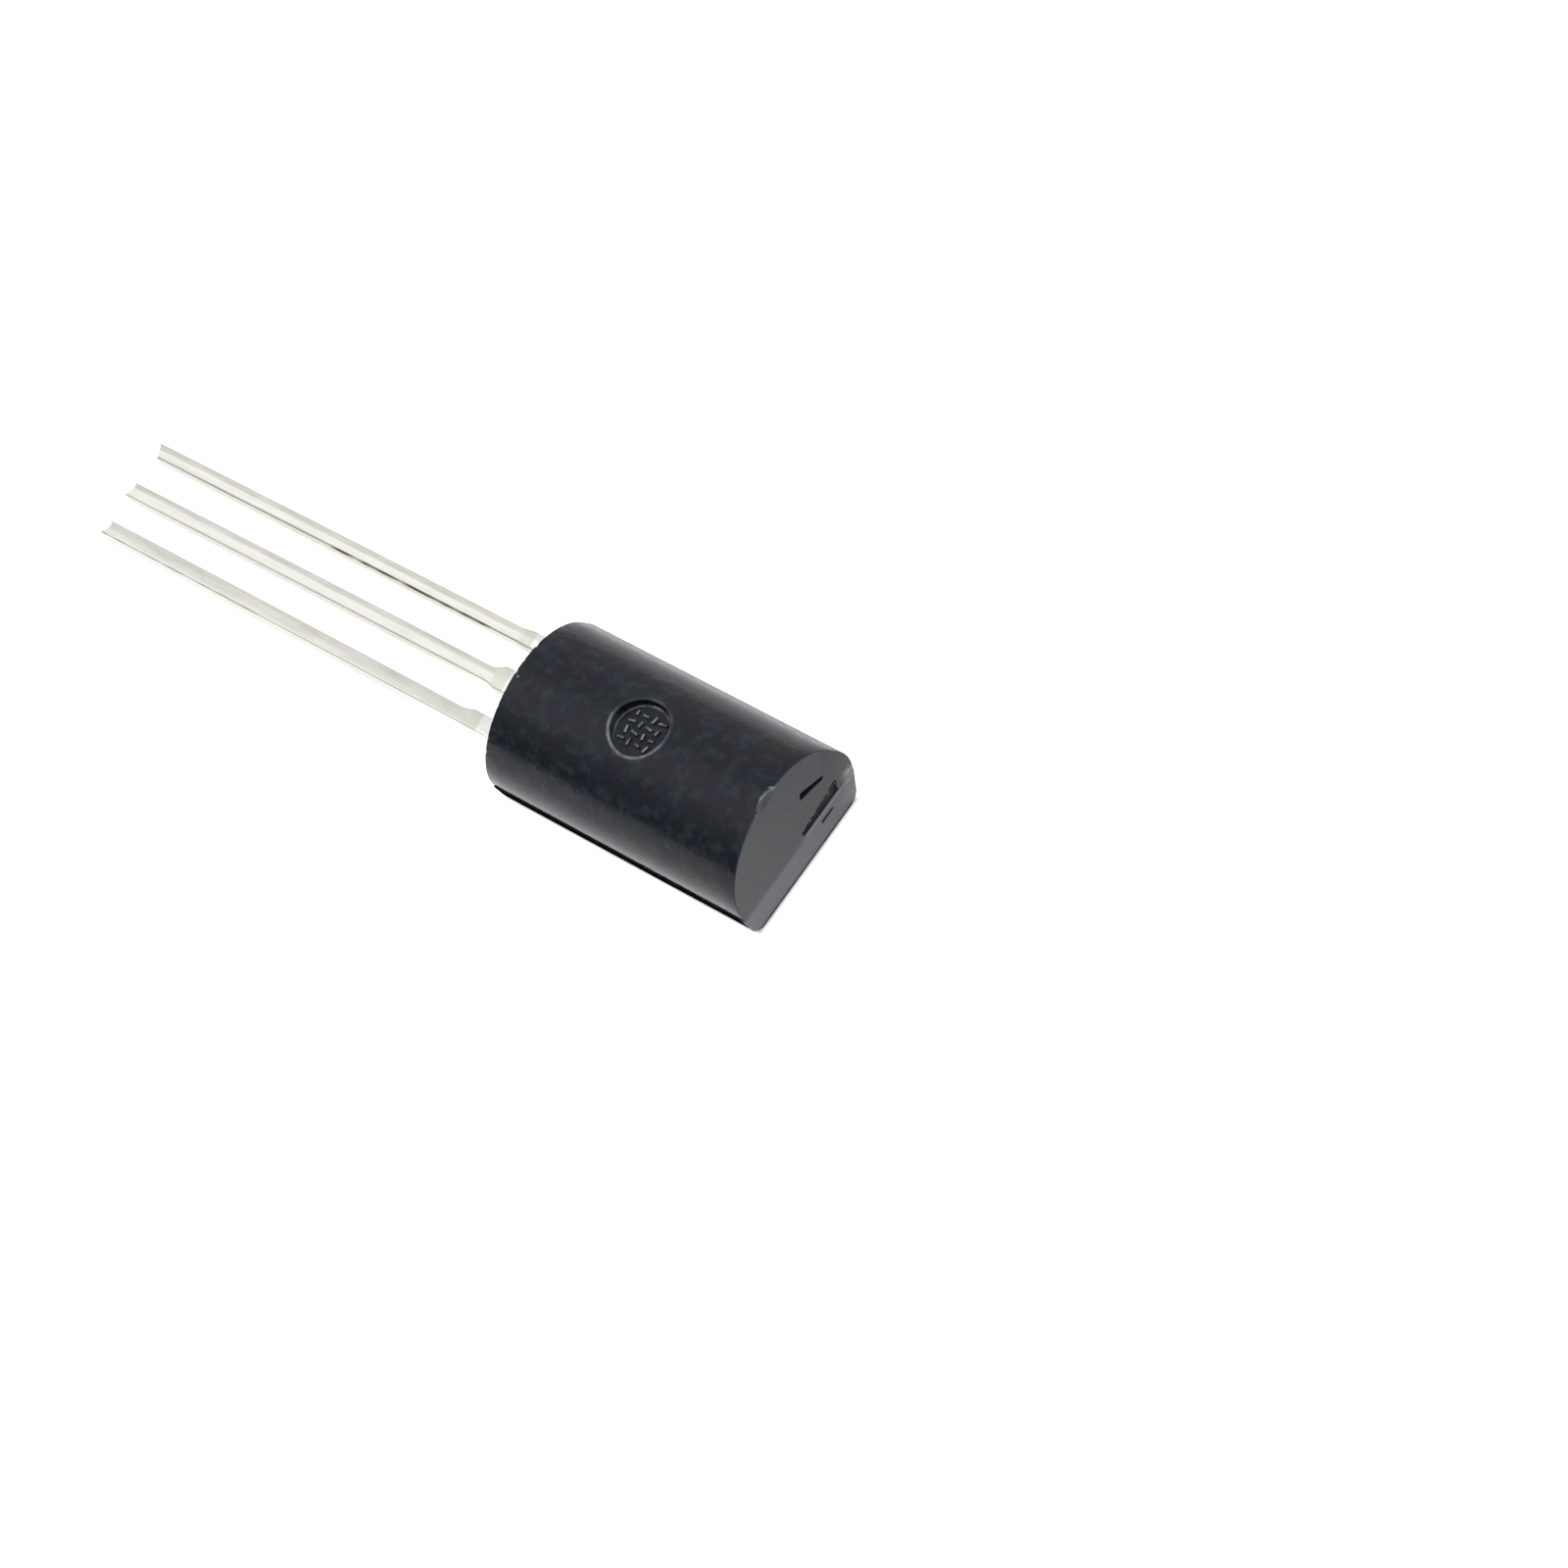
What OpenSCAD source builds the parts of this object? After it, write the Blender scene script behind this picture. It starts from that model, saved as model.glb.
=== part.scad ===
// Long-body TO-92 transistor, lying on its flat front face.
// The origin is the centre of the flat front, +Z points to the round back,
// and the leads run along -X. Every length is in millimetres, every angle in degrees.

/* [Case] */
// Length of the moulded case, measured at its parting line
case_l = 8.0; // [7.8:0.05:8.4]
// Width of the case, measured at its parting line
case_w = 4.86; // [4.7:0.02:5.0]
// Thickness of the case, from the flat front to the round back
case_t = 3.85; // [3.7:0.05:4.1]
// Radius of the round back
back_r = 2.25; // [2.2:0.01:2.3]
// Height of the parting line above the flat front
parting_h = 1.12; // [1.04:0.02:1.3]
// Slope of the side walls between the flat front and the parting line
front_draft = 13; // [5:1:15]
// Radius along the two long edges of the flat front
front_edge_r = 0.5; // [0.3:0.05:0.6]
// Slope of the far end face, away from the parting line
far_draft = 1; // [0.5:0.5:3]
// Slope of the end face that the leads come out of
lead_draft = 3; // [1:0.5:5]
// Width of the fin of moulding flash round the parting line
flash_w = 0.03; // [0.02:0.01:0.05]
// Thickness of the fin of moulding flash
flash_t = 0.05; // [0.03:0.01:0.08]

/* [Ejector mark] */
// Diameter of the mark that the ejector pin leaves in the round back
mark_d = 1.62; // [1.4:0.02:1.7]
// Depth of the mark below the highest line of the back
mark_depth = 0.25; // [0.2:0.01:0.3]
// Place of the mark along the case, from its middle
mark_x = -0.1; // [-0.5:0.05:0.5]
// Place of the mark across the case, from its middle
mark_y = -0.05; // [-0.2:0.05:0.2]

/* [Gate scar] */
// Place of the gate across the far end, from the middle
gate_y = 0.98; // [0.6:0.02:1.2]
// Width of the scar that the gate leaves on the far end
gate_w = 1.5; // [1.0:0.1:1.6]
// Height of the scar, from the parting line up
gate_h = 0.36; // [0.2:0.02:0.5]
// Depth of the scar
gate_depth = 0.08; // [0.04:0.01:0.15]
// Length of the nick above the scar
nick_l = 0.85; // [0.5:0.05:1.0]
// Width of the nick
nick_w = 0.1; // [0.06:0.01:0.16]
// Depth of the nick
nick_depth = 0.16; // [0.06:0.01:0.25]
// Height of the nick above the parting line
nick_h = 1.2; // [1.0:0.05:1.4]
// Tilt of the nick against the parting line
nick_tilt = -21; // [-30:1:0]
// Length of the dimple below the scar
dimple_l = 0.4; // [0.2:0.05:0.6]
// Width of the dimple
dimple_w = 0.14; // [0.08:0.02:0.2]
// Distance of the dimple below the parting line
dimple_drop = 0.3; // [0.25:0.05:0.4]

/* [Lead end of the case] */
// Width of the relief pocket in front of each lead
pocket_w = 0.66; // [0.56:0.02:0.8]
// Length of a pocket, from the lead towards the flat front
pocket_l = 0.7; // [0.4:0.05:0.85]
// Depth of a pocket
pocket_depth = 0.24; // [0.1:0.02:0.4]
// Width of the low rib in the middle of each pocket
rib_w = 0.2; // [0.1:0.02:0.3]
// Height of that rib
rib_h = 0.12; // [0.04:0.02:0.2]
// Width of the bevel where the flat front meets the lead end
bevel_w = 0.14; // [0.06:0.02:0.2]
// Length of that bevel across the case
bevel_l = 3.2; // [2.0:0.1:3.4]

/* [Leads] */
// Distance from one lead to the next
pitch = 1.27; // [1.2:0.01:1.34]
// Length of the leads outside the case
lead_l = 14.2; // [13.8:0.1:14.6]
// Width of a lead
lead_w = 0.42; // [0.35:0.01:0.45]
// Thickness of the strip that the leads are stamped from
lead_t = 0.4; // [0.35:0.01:0.45]
// Width of each lead where it leaves the case
root_w = 0.5; // [0.46:0.01:0.54]
// Distance from the case to the stub where the dam bar was cut off
stub_from = 0.7; // [0.5:0.05:1.0]
// Length of the stub
stub_l = 0.85; // [0.6:0.05:1.1]
// Width of the middle lead at its stub
stub_mid_w = 0.7; // [0.6:0.02:0.78]
// Width of the two outer leads at their stubs
stub_outer_w = 0.62; // [0.56:0.02:0.78]
// Length over which a lead narrows beyond its stub
flare_l = 0.3; // [0.2:0.05:0.4]
// Depth of the hollow that the shear leaves in each tip
tip_hollow = 0.08; // [0.04:0.01:0.12]

/* [Lead frame inside the case] */
// Distance from the lead end of the case to the bond posts
post_from = 1.7; // [1.4:0.1:2.0]
// Length of a bond post
post_l = 0.9; // [0.7:0.05:1.0]
// Width of a bond post
post_w = 0.9; // [0.7:0.05:1.0]
// Gap between the bond posts and the paddle under the chip
frame_gap = 0.4; // [0.3:0.05:0.5]
// Length of the paddle
paddle_l = 2.6; // [2.2:0.1:2.8]
// Width of the paddle
paddle_w = 2.4; // [2.0:0.1:2.8]
// Length of the tab that anchors the paddle in the case
tab_l = 1.0; // [0.8:0.05:1.2]
// Width of the tab
tab_w = 1.2; // [1.0:0.05:1.4]
// Diameter of the hole in the tab, which the moulding fills
tab_hole_d = 0.5; // [0.3:0.05:0.6]

/* [Chip and wires] */
// Side of the square chip
die_s = 0.9; // [0.7:0.05:1.1]
// Thickness of the chip
die_t = 0.22; // [0.18:0.01:0.26]
// Distance from the edge of the paddle to the chip
die_from = 0.35; // [0.25:0.05:0.5]
// Thickness of the solder under the chip
solder_t = 0.03; // [0.02:0.005:0.05]
// Width of solder that shows round the chip
solder_edge = 0.06; // [0.03:0.01:0.1]
// Diameter of the bond wires
wire_d = 0.05; // [0.04:0.005:0.06]
// Radius of the arc that each wire makes
wire_arc_r = 1.6; // [1.4:0.1:1.9]
// Diameter of the pressed end of a wire
bond_d = 0.16; // [0.12:0.01:0.2]
// Thickness of the pressed end
bond_t = 0.06; // [0.05:0.005:0.08]
// Distance between the two bonds on the chip
bond_gap = 0.45; // [0.3:0.05:0.5]

/* [Hidden] */

epoxy_colour = "#26292f";
tin_colour = "#cfcec4";
chip_colour = "#5a6270";
solder_colour = "#8d9096";
wire_colour = "#d8ab45";

round_fn = 96;
small_fn = 32;
// Cutting shapes reach this far past the surface that they cut
over = 0.5;

// Round back: its centre, and the point where the side wall leaves it
back_z = case_t - back_r;
wall_foot = [case_w / 2, parting_h - back_z];
wall_turn = atan2(wall_foot.y, wall_foot.x) + acos(back_r / norm(wall_foot));
wall_top = [back_r * cos(wall_turn), back_z + back_r * sin(wall_turn)];

// Flat front: half its width before rounding, and the centre of its rounded edge
front_half = case_w / 2 - parting_h * tan(front_draft);
edge_y = front_half - front_edge_r * (1 - sin(front_draft)) / cos(front_draft);
edge_end = [
    edge_y + front_edge_r * cos(front_draft),
    front_edge_r * (1 - sin(front_draft))
];

lead_end_x = -case_l / 2;
far_end_x = case_l / 2;
lead_top_z = parting_h + lead_t;
tip_x = lead_end_x - lead_l;
tip_r = (pow(lead_w / 2, 2) + pow(tip_hollow, 2)) / (2 * tip_hollow);

post_x = lead_end_x + post_from;
paddle_x = post_x + post_l + frame_gap;
tab_x = paddle_x + paddle_l;

// The chip hangs under the paddle, on the side of the flat front
die_x = paddle_x + die_from + die_s / 2;
solder_z = parting_h - solder_t;
die_z = solder_z - die_t;

// Both ends of a wire lie in the middle of the pressed bond that holds them
chip_bond_z = die_z - bond_t / 2;
post_bond_z = parting_h - bond_t / 2;
post_mid_x = post_x + post_l / 2;

// Section of the case above the parting line, width by height
module back_section() {
    intersection() {
        translate([0, back_z]) circle(r = back_r, $fn = round_fn);
        translate([-case_w / 2, parting_h]) square([case_w, case_t]);
    }
    polygon([
        [-case_w / 2, parting_h],
        [case_w / 2, parting_h],
        wall_top,
        [-wall_top.x, wall_top.y]
    ]);
}

// Section of the case below the parting line
module front_section() {
    polygon([
        [-edge_y, 0],
        [edge_y, 0],
        edge_end,
        [case_w / 2, parting_h],
        [-case_w / 2, parting_h],
        [-edge_end.x, edge_end.y]
    ]);
    for (side = [-1, 1])
        translate([side * edge_y, front_edge_r])
            circle(r = front_edge_r, $fn = round_fn);
}

// Side view of the case: both end faces lean in, away from the parting line
module side_view() {
    low = -over;
    high = case_t + over;
    polygon([
        [lead_end_x, parting_h],
        [lead_end_x + (parting_h - low) * tan(lead_draft), low],
        [far_end_x - (parting_h - low) * tan(far_draft), low],
        [far_end_x, parting_h],
        [far_end_x - (high - parting_h) * tan(far_draft), high],
        [lead_end_x + (high - parting_h) * tan(lead_draft), high]
    ]);
}

module moulding() {
    intersection() {
        rotate([90, 0, 90])
            linear_extrude(case_l + 2 * over, center = true) {
                back_section();
                front_section();
            }
        rotate([90, 0, 0])
            linear_extrude(case_w + 2 * over, center = true) side_view();
    }
    translate([0, 0, parting_h])
        cube([case_l + 2 * flash_w, case_w + 2 * flash_w, flash_t], center = true);
}

module ejector_mark() {
    translate([mark_x, mark_y, case_t - mark_depth])
        cylinder(d = mark_d, h = mark_depth + over, $fn = round_fn);
}

// A slot with round ends in the far end face, lying across the case
module end_slot(y, z, length, width, depth, tilt) {
    reach = far_end_x + flash_w;
    translate([reach - depth, y, z])
        rotate([90, 0, 90])
            rotate([0, 0, tilt]) linear_extrude(depth + over) {
                square([length - width, width], center = true);
                for (side = [-1, 1])
                    translate([side * (length - width) / 2, 0])
                        circle(d = width, $fn = small_fn);
            }
}

module gate_scar() {
    translate([far_end_x - gate_depth, gate_y - gate_w / 2, parting_h + flash_t / 2])
        cube([gate_depth + over, gate_w, gate_h]);
    end_slot(gate_y, parting_h + nick_h, nick_l, nick_w, nick_depth + flash_w, nick_tilt);
    end_slot(gate_y, parting_h - dimple_drop, dimple_l, dimple_w, gate_depth + flash_w, 0);
}

// The pocket that lets each lead bend without breaking the case
module lead_pocket(y) {
    translate([lead_end_x - over, y, parting_h - pocket_l])
        difference() {
            translate([0, -pocket_w / 2, 0])
                cube([over + pocket_depth, pocket_w, pocket_l]);
            translate([over + pocket_depth - rib_h, -rib_w / 2, -over])
                cube([rib_h + over, rib_w, pocket_l + 2 * over]);
        }
}

module front_bevel() {
    foot_x = lead_end_x + parting_h * tan(lead_draft);
    translate([foot_x, 0, 0])
        rotate([0, 45, 0])
            cube([bevel_w * sqrt(2), bevel_l, bevel_w * sqrt(2)], center = true);
}

// Outline of a lead outside the case and up to the bond post, seen from above
module lead_outline(stub_w) {
    stub_x = lead_end_x - stub_from - stub_l;
    step = (stub_w - lead_w) / 2;
    flare_r = (pow(flare_l, 2) + pow(step, 2)) / (2 * step);
    difference() {
        translate([tip_x, -lead_w / 2]) square([stub_x - tip_x, lead_w]);
        translate([tip_x + tip_hollow - tip_r, 0]) circle(r = tip_r, $fn = round_fn);
    }
    translate([stub_x, -stub_w / 2]) square([stub_l, stub_w]);
    for (side = [0, 1])
        mirror([0, side])
            translate([stub_x - flare_l, lead_w / 2])
                difference() {
                    square([flare_l, step]);
                    translate([0, flare_r]) circle(r = flare_r, $fn = round_fn);
                }
    translate([stub_x + stub_l, -root_w / 2]) square([stub_from + post_from, root_w]);
}

module strip(y) {
    translate([0, y, parting_h]) linear_extrude(lead_t) children();
}

module post_lead(y) {
    color(tin_colour)
        strip(y) {
            lead_outline(stub_outer_w);
            translate([post_x, -post_w / 2]) square([post_l, post_w]);
        }
}

module emitter_lead() { post_lead(-pitch); }

module base_lead() { post_lead(pitch); }

module collector_lead() {
    color(tin_colour)
        strip(0) {
            lead_outline(stub_mid_w);
            translate([post_x, -root_w / 2]) square([paddle_x - post_x, root_w]);
            translate([paddle_x, -paddle_w / 2]) square([paddle_l, paddle_w]);
            difference() {
                translate([tab_x, -tab_w / 2]) square([tab_l, tab_w]);
                translate([tab_x + tab_l / 2, 0]) circle(d = tab_hole_d, $fn = small_fn);
            }
        }
}

module die_attach() {
    side = die_s + 2 * solder_edge;
    color(solder_colour)
        translate([die_x - side / 2, -side / 2, solder_z]) cube([side, side, solder_t]);
}

module silicon_die() {
    color(chip_colour)
        translate([die_x - die_s / 2, -die_s / 2, die_z]) cube([die_s, die_s, die_t]);
}

// An arc of wire from one bond to the other, bowed towards the flat front
module wire_arc(from, to) {
    span = norm([to.x - from.x, to.y - from.y]);
    rise = to.z - from.z;
    chord = norm([span, rise]);
    tilt = atan2(rise, span);
    half_turn = asin(chord / 2 / wire_arc_r);
    lift = wire_arc_r * cos(half_turn);
    middle = [span / 2 - lift * sin(tilt), rise / 2 + lift * cos(tilt), 0];
    translate(from)
        rotate([90, 0, atan2(to.y - from.y, to.x - from.x)])
            translate(middle)
                rotate([0, 0, tilt - 90 - half_turn])
                    rotate_extrude(angle = 2 * half_turn, $fn = round_fn)
                        translate([wire_arc_r, 0]) circle(d = wire_d, $fn = small_fn);
}

module pressed_bond(at) {
    translate([at.x, at.y, at.z - bond_t / 2])
        cylinder(d = bond_d, h = bond_t, $fn = small_fn);
}

module bond_wire(side) {
    chip_end = [die_x, side * bond_gap / 2, chip_bond_z];
    post_end = [post_mid_x, side * pitch, post_bond_z];
    color(wire_colour) {
        pressed_bond(chip_end);
        wire_arc(chip_end, post_end);
        pressed_bond(post_end);
    }
}

module emitter_bond_wire() { bond_wire(-1); }

module base_bond_wire() { bond_wire(1); }

// The moulding is cast round the lead frame, the chip and the wires
module epoxy_case() {
    color(epoxy_colour)
        difference() {
            moulding();
            ejector_mark();
            gate_scar();
            for (i = [-1, 0, 1]) lead_pocket(i * pitch);
            front_bevel();
            emitter_lead();
            collector_lead();
            base_lead();
            die_attach();
            silicon_die();
            emitter_bond_wire();
            base_bond_wire();
        }
}

epoxy_case();
emitter_lead();
collector_lead();
base_lead();
die_attach();
silicon_die();
emitter_bond_wire();
base_bond_wire();
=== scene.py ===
# A long-body TO-92 transistor lying on its flat face, leads out to -X.
# Pieces are shaped in millimetres and brought to metres when they are finished.
import math
import random

import bmesh
import bpy
from mathutils import Matrix, Vector, noise


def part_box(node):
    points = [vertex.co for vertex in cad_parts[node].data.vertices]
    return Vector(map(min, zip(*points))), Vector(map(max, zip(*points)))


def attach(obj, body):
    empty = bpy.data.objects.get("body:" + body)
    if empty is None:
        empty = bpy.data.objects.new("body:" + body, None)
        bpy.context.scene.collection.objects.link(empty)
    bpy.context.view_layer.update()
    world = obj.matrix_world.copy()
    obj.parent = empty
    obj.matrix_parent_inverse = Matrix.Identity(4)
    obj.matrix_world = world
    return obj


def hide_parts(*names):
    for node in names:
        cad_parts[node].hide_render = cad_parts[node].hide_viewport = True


mm = 0.001
weld = 1e-5  # mm; points closer than this are one
closeBy = 1e-4  # mm; a point this close to a plane lies on it
sharpFrom = 32  # degrees between two faces
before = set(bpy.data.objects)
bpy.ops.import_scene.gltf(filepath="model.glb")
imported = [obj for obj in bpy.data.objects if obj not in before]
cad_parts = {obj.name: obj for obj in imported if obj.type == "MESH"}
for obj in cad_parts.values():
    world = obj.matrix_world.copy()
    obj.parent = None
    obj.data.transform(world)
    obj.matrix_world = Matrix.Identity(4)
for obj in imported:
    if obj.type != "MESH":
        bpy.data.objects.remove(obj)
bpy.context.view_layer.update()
print("frame loaded:", len(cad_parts), "nodes")


def boxInMm(node):
    low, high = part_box(node)
    return low / mm, high / mm


def clamped(value):
    return min(1, max(0, value))


def makeObject(bm, name):
    bmesh.ops.remove_doubles(bm, verts=bm.verts, dist=weld)
    bmesh.ops.recalc_face_normals(bm, faces=bm.faces)
    mesh = bpy.data.meshes.new(name)
    bm.to_mesh(mesh)
    bm.free()
    obj = bpy.data.objects.new(name, mesh)
    bpy.context.scene.collection.objects.link(obj)
    return obj


def meshOf(obj):
    graph = bpy.context.evaluated_depsgraph_get()
    return bpy.data.meshes.new_from_object(obj.evaluated_get(graph))


def combine(body, tool, operation):
    change = body.modifiers.new("cut", "BOOLEAN")
    change.operation = operation
    change.solver = "EXACT"
    change.object = tool
    shaped = meshOf(body)
    if not shaped.polygons:
        raise RuntimeError(operation + " with " + tool.name + " left nothing")
    body.modifiers.clear()
    old = body.data
    body.data = shaped
    bpy.data.meshes.remove(old)
    bpy.data.objects.remove(tool)


def vertsIn(geom):
    return [g for g in geom if isinstance(g, bmesh.types.BMVert)]


def roundEdges(bm, edges, offset, segments=3):
    bmesh.ops.bevel(
        bm,
        geom=edges,
        offset=offset,
        affect="EDGES",
        segments=segments,
        profile=0.5,
        material=-1,
    )


def addCube(bm, size):
    made = bmesh.ops.create_cube(bm, size=1.0)["verts"]
    bmesh.ops.scale(bm, vec=size, verts=made)
    return made


def addLump(bm, size, least, most):
    # a ball of about this radius, stretched at random along each axis
    made = bmesh.ops.create_icosphere(bm, subdivisions=2, radius=1)["verts"]
    stretch = Vector([size * random.uniform(least, most) for axis in range(3)])
    bmesh.ops.scale(bm, vec=stretch, verts=made)
    return made


def turnVerts(bm, verts, angle, axis):
    bmesh.ops.rotate(bm, matrix=Matrix.Rotation(angle, 3, axis), verts=verts)


def cutThrough(bm, point, normal, clear=False):
    # returns the edges of the cut
    geom = bm.verts[:] + bm.edges[:] + bm.faces[:]
    cut = bmesh.ops.bisect_plane(bm, geom=geom, plane_co=point, plane_no=normal, clear_outer=clear)
    return [g for g in cut["geom_cut"] if isinstance(g, bmesh.types.BMEdge)]


def sliceOff(bm, point, normal):
    rim = cutThrough(bm, point, normal, True)
    bmesh.ops.edgeloop_fill(bm, edges=rim)


def finishPiece(obj, material):
    # to metres, with flat faces kept flat and rounded edges smooth
    obj.data.transform(Matrix.Scale(mm, 4))
    obj.data.polygons.foreach_set("use_smooth", [True] * len(obj.data.polygons))
    obj.data.set_sharp_from_angle(angle=math.radians(sharpFrom))
    even = obj.modifiers.new("even shading", "WEIGHTED_NORMAL")
    even.keep_sharp = True
    obj.data.materials.clear()
    obj.data.materials.append(material)
    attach(obj, "root")
    return obj


emitterBox = boxInMm("emitter_lead")
caseBox = boxInMm("epoxy_case")
partingZ = emitterBox[0].z
noiseLow, noiseHigh = 0.3, 0.7  # most of a noise lies between these


def toLinear(hexText):
    parts = [int(hexText[i : i + 2], 16) / 255 for i in (1, 3, 5)]
    return [c / 12.92 if c <= 0.04045 else ((c + 0.055) / 1.055) ** 2.4 for c in parts] + [1.0]


def grey(value):
    return [value, value, value, 1.0]


def addNode(tree, kind, settings=None, inputs=None):
    # settings are the node's own, inputs its sockets: a value, or (node, output)
    node = tree.nodes.new(kind)
    for key, value in (settings or {}).items():
        setattr(node, key, value)
    for key, value in (inputs or {}).items():
        if isinstance(value, tuple) and isinstance(value[0], bpy.types.Node):
            tree.links.new(value[0].outputs[value[1]], node.inputs[key])
        else:
            node.inputs[key].default_value = value
    return node


def newMaterial(name):
    material = bpy.data.materials.new(name)
    material.use_nodes = True
    material.node_tree.nodes.clear()
    return material, material.node_tree


def closeMaterial(tree, shader):
    addNode(tree, "ShaderNodeOutputMaterial", inputs={"Surface": (shader, 0)})


# the functions from here to bumped() return an output, as (node, output)


def placeOf(tree, output="Object"):
    return (addNode(tree, "ShaderNodeTexCoord"), output)


def axesOf(tree, place):
    node = addNode(tree, "ShaderNodeSeparateXYZ", inputs={"Vector": place})
    return (node, "X"), (node, "Y"), (node, "Z")


def stretched(tree, place, scale):
    node = addNode(tree, "ShaderNodeMapping", inputs={"Vector": place, "Scale": scale})
    return (node, "Vector")


def noiseOf(tree, place, size, detail=2.0, roughness=0.5):
    # size is in mm
    inputs = {"Vector": place, "Scale": 1 / (size * mm), "Detail": detail, "Roughness": roughness}
    return (addNode(tree, "ShaderNodeTexNoise", inputs=inputs), "Fac")


def ramped(tree, factor, stops):
    node = addNode(tree, "ShaderNodeValToRGB", inputs={"Fac": factor})
    elements = node.color_ramp.elements
    while len(elements) < len(stops):
        elements.new(0.5)
    for element, (place, colour) in zip(elements, stops):
        element.position = place
        element.color = colour
    return (node, "Color")


def maths(tree, operation, *values):
    return (addNode(tree, "ShaderNodeMath", {"operation": operation}, dict(enumerate(values))), 0)


def vectorMaths(tree, operation, first, second):
    settings = {"operation": operation}
    return (addNode(tree, "ShaderNodeVectorMath", settings, {0: first, 1: second}), "Value")


def times(tree, *values):
    product = values[0]
    for value in values[1:]:
        product = maths(tree, "MULTIPLY", product, value)
    return product


def larger(tree, first, second):
    return maths(tree, "MAXIMUM", first, second)


def mapped(tree, value, low, high, fromValue=0, toValue=1, kind="SMOOTHSTEP"):
    node = addNode(
        tree,
        "ShaderNodeMapRange",
        {"interpolation_type": kind},
        {
            "Value": value,
            "From Min": low,
            "From Max": high,
            "To Min": fromValue,
            "To Max": toValue,
        },
    )
    return (node, "Result")


def faded(tree, value, low, high, fromValue=0, toValue=1):
    # the same for a place, in mm
    return mapped(tree, value, low * mm, high * mm, fromValue, toValue)


def window(tree, value, band, level=0):
    # 1 between low and high, fading out over soft, all in mm from the level
    low, high, soft = band
    rise = faded(tree, value, level + low - soft, level + low + soft)
    fall = faded(tree, value, level + high - soft, level + high + soft, 1, 0)
    return times(tree, rise, fall)


def mixed(tree, factor, base, over):
    node = addNode(
        tree,
        "ShaderNodeMix",
        {"data_type": "RGBA"},
        {"Factor": factor, "A": base, "B": over},
    )
    return (node, "Result")


def bumped(tree, height, strength, distance):
    inputs = {"Height": height, "Strength": strength, "Distance": distance * mm}
    return (addNode(tree, "ShaderNodeBump", inputs=inputs), "Normal")


epoxyFinish = {
    "dark": "#10151d",
    "bluish": "#121828",
    "greenish": "#131a1a",
    "light": "#262e35",
    # painted highlight in and round the pin mark, with some scuffing
    "scuffsAndHighlight": "#858b91",
    "shade": "#030406",
    # painted reflection of the floor in the far end face
    "endFace": "#23262c",
    "lowEndFace": "#43474e",
    "dusty": "#8d9083",
    "torn": "#464143",
    "ridge": "#6d6e70",
    "roughness": (0.15, 0.29),
    "ior": 1.37,
    "shine": 0.5,
    "bump": (0.6, 0.01),  # strength, depth in mm
    # the noises: size in mm, detail and roughness
    "blotch": (0.9, 4.0, 0.6),
    "mottle": (0.32, 3.0, 0.6),
    "uneven": (0.3, 3.0),
    "grain": (0.14, 3.0, 0.65),
    "blotchStops": (0.35, 0.5, 0.62),
}

epoxyWear = {
    # where each kind of wear lies: a band is low, high and softness in mm, a fade is
    # from, to and the values there; those of the pin mark are measured from its radius
    # and its floor
    "rimOut": (0.01, 0.08, 0.03),
    "rimUp": (3.2, 5, 0.1),  # up from the ground
    "rimLit": (0.3, -0.6, 0.2, 1),
    "topsOut": (-2, -0.06, 0.02),
    "topsUp": (0.048, 0.09, 0.01),
    "wallOut": (-0.019, 0.01, 0.004),
    "wallUp": (0.012, 0.21, 0.008),
    "ringOut": (-0.075, -0.02, 0.008),
    "ringUp": (-0.05, 0.02, 0.01),
    "ringFrom": (0.7, -0.7, 0),
    "ringLit": (0.2, -0.4, 0, 0.8),
    "scuffs": (0.3, 0.65, 0.15, 0.9),
    "mottled": (0.45, 0.72, 0, 0.9),
    # the far end: those named after the seam, the scar or the end are measured from it
    "endFace": (3.86, 3.96),
    "flake": (0.006, 0.001),  # past the radius of the flake
    "belowSeam": (0.01, -0.01),
    "cornerAside": (2.0, 2.45, 0.12),
    "cornerUp": (1.0, 1.42, 0.12),
    "cornerDust": (0.3, 0.6, 0.3, 1),
    "tornFromScar": (-0.9, 0.9, 0.05),
    "tornFromSeam": (-0.5, 0.56, 0.02),
    "tornFromEnd": (-0.4, -0.035, 0.015),
    "ridgeAside": (0.2, 2.1, 0.25),
    "ridgeFromSeam": (-0.075, -0.005, 0.015),
    "ridgeFromEnd": (-0.045, 1, 0.01),
    # painted shade: what is painted near black
    "shadeAside": (-3, -2.15, 0.01),
    "shadeFromSeam": (-0.55, 0.015, 0.005),
    "shadeFacing": (0.65, 0.8),
    "lowest": (-1, 0.125, 0.012),
}


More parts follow.
